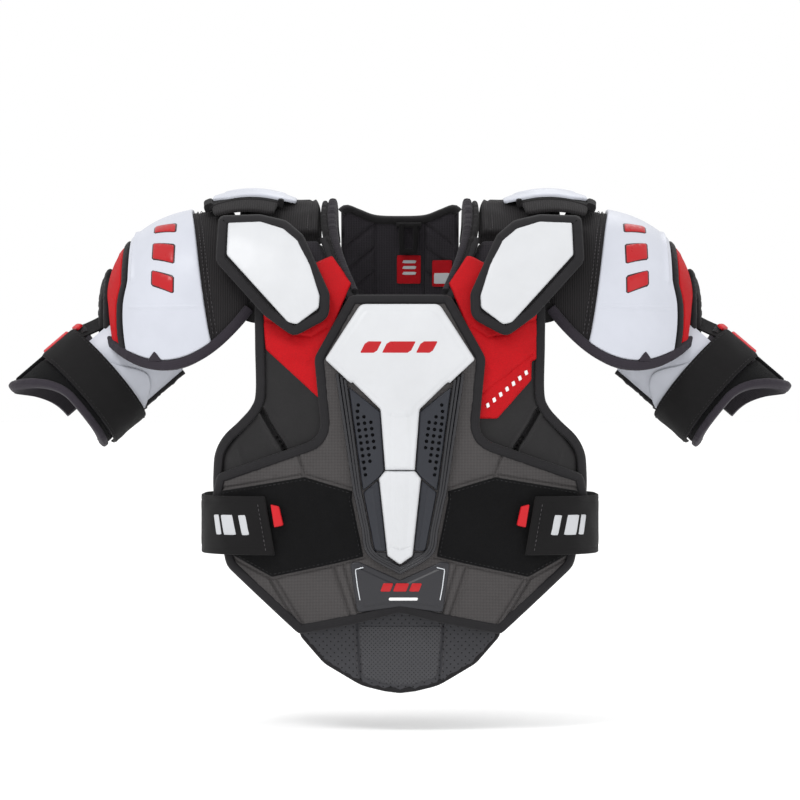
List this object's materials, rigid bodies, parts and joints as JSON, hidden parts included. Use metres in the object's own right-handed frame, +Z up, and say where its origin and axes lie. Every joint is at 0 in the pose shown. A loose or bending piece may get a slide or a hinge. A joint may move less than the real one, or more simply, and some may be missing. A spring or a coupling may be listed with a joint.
{
  "type": "hockey shoulder pads",
  "caption": "Ice hockey shoulder pads: padded vest with sternum plate, collarbone and shoulder caps, upper-arm guards, waist straps and belly pad.",
  "frame": {"origin": "middle of the neck opening, on the line across the shoulders where the yokes rest", "axes": "+Z up, the chest faces -Y, +X towards the wearer's left arm"},
  "size_m": [0.7282, 0.2781, 0.4637],
  "materials": {
    "white_plastic": "satin moulded polyethylene",
    "black_plastic": "glossy moulded plastic",
    "vent_plastic": "satin moulded plastic",
    "badge_plastic": "satin moulded plastic with bright bevels",
    "chest_foam": "moulded foam under a woven cover",
    "perforated_foam": "perforated synthetic leather over foam",
    "black_fabric": "ribbed padded textile",
    "red_fabric": "bright woven synthetic",
    "binding": "folded sewn tape",
    "liner": "brushed knitted lining over foam",
    "loop_pile": "velvet loop pile",
    "hook_tape": "hook tape",
    "webbing": "woven elastic",
    "red_tab": "moulded rubber",
    "label": "woven labels"
  },
  "bodies": {
    "vest": {"chest_liner": "liner", "left_chest_panel": "chest_foam", "right_chest_panel": "chest_foam", "red_panels": "red_fabric", "armhole_bindings": "binding", "front_shield": "chest_foam", "shield_binding": "binding", "sternum_plate": "white_plastic", "sternum_tip": "white_plastic", "sternum_frame": "black_plastic", "vent_plates": "vent_plastic", "loop_fields": "loop_pile", "name_badge": "badge_plastic", "yokes": "black_fabric", "collar_rolls": "black_fabric", "back_collar": "liner", "neck_labels": "label", "hanger_loop": "webbing", "back_liner": "liner", "back_panel": "chest_foam", "back_binding": "binding", "scapula_plates": "white_plastic", "lumbar_pads": "chest_foam", "spine_guard": "black_plastic"},
    "belly_pad_body": {"belly_pad": "perforated_foam"},
    "left_clavicle": {"left_clavicle_pad": "black_fabric", "left_clavicle_cap": "white_plastic"},
    "left_top_cap_body": {"left_top_cap_pad": "black_fabric", "left_top_cap": "white_plastic"},
    "left_shoulder_cap": {"left_cap_foam": "black_fabric", "left_cap_shell": "white_plastic", "left_cap_red_panel": "red_fabric", "left_cap_end_pad": "black_fabric", "left_cap_bindings": "binding"},
    "left_arm_guard": {"left_arm_guard_foam": "liner", "left_arm_guard_plate": "white_plastic", "left_arm_side_plate": "loop_pile"},
    "left_arm_strap_body": {"left_arm_strap": "webbing", "left_arm_pull_tab": "red_tab"},
    "left_waist_strap_body": {"left_waist_strap": "webbing", "left_waist_pull_tab": "red_tab", "left_waist_hook_patch": "hook_tape"},
    "right_clavicle": {"right_clavicle_pad": "black_fabric", "right_clavicle_cap": "white_plastic"},
    "right_top_cap_body": {"right_top_cap_pad": "black_fabric", "right_top_cap": "white_plastic"},
    "right_shoulder_cap": {"right_cap_foam": "black_fabric", "right_cap_shell": "white_plastic", "right_cap_red_panel": "red_fabric", "right_cap_end_pad": "black_fabric", "right_cap_bindings": "binding"},
    "right_arm_guard": {"right_arm_guard_foam": "liner", "right_arm_guard_plate": "white_plastic", "right_arm_side_plate": "loop_pile"},
    "right_arm_strap_body": {"right_arm_strap": "webbing", "right_arm_pull_tab": "red_tab"},
    "right_waist_strap_body": {"right_waist_strap": "webbing", "right_waist_pull_tab": "red_tab", "right_waist_hook_patch": "hook_tape"}
  },
  "joints": [
    {"name": "belly_pad_slide", "type": "slide", "parent": "vest", "child": "belly_pad_body", "axis": [0, 0, 1], "range_m": [-0.03, 0]},
    {"name": "left_clavicle_flip", "type": "hinge", "parent": "vest", "child": "left_clavicle", "pos_m": [0.115, -0.072, 0.014], "axis": [-1, 0, 0], "range_deg": [0, 45]},
    {"name": "left_shoulder_cap_lift", "type": "hinge", "parent": "vest", "child": "left_shoulder_cap", "pos_m": [0.14, 0, 0.02], "axis": [0, -1, 0], "range_deg": [0, 40]},
    {"name": "left_top_cap_lift", "type": "hinge", "parent": "vest", "child": "left_top_cap_body", "pos_m": [0.09, 0, 0.025], "axis": [0, -1, 0], "range_deg": [0, 26]},
    {"name": "left_arm_guard_swing", "type": "hinge", "parent": "left_shoulder_cap", "child": "left_arm_guard", "pos_m": [0.262, 0, -0.095], "axis": [0, -1, 0], "range_deg": [-25, 8]},
    {"name": "left_arm_strap_open", "type": "hinge", "parent": "left_arm_guard", "child": "left_arm_strap_body", "pos_m": [0.25619, 0.00556, -0.18427], "axis": [0.735, -0.2, -0.648], "range_deg": [0, 90]},
    {"name": "left_waist_strap_open", "type": "hinge", "parent": "vest", "child": "left_waist_strap_body", "pos_m": [0.144, 0.0945, -0.2715], "axis": [0, 0, 1], "range_deg": [0, 100]},
    {"name": "right_clavicle_flip", "type": "hinge", "parent": "vest", "child": "right_clavicle", "pos_m": [-0.115, -0.072, 0.014], "axis": [-1, 0, 0], "range_deg": [0, 45]},
    {"name": "right_shoulder_cap_lift", "type": "hinge", "parent": "vest", "child": "right_shoulder_cap", "pos_m": [-0.14, 0, 0.02], "axis": [0, 1, 0], "range_deg": [0, 40]},
    {"name": "right_top_cap_lift", "type": "hinge", "parent": "vest", "child": "right_top_cap_body", "pos_m": [-0.09, 0, 0.025], "axis": [0, 1, 0], "range_deg": [0, 26]},
    {"name": "right_arm_guard_swing", "type": "hinge", "parent": "right_shoulder_cap", "child": "right_arm_guard", "pos_m": [-0.262, 0, -0.095], "axis": [0, 1, 0], "range_deg": [-25, 8]},
    {"name": "right_arm_strap_open", "type": "hinge", "parent": "right_arm_guard", "child": "right_arm_strap_body", "pos_m": [-0.25619, 0.00556, -0.18427], "axis": [0.735, 0.2, 0.648], "range_deg": [0, 90]},
    {"name": "right_waist_strap_open", "type": "hinge", "parent": "vest", "child": "right_waist_strap_body", "pos_m": [-0.144, 0.0945, -0.2715], "axis": [0, 0, -1], "range_deg": [0, 100]}
  ],
  "couplings": [
    {"joint": "left_top_cap_lift", "follows": "left_shoulder_cap_lift", "ratio": 0.62},
    {"joint": "right_top_cap_lift", "follows": "right_shoulder_cap_lift", "ratio": 0.62}
  ]
}
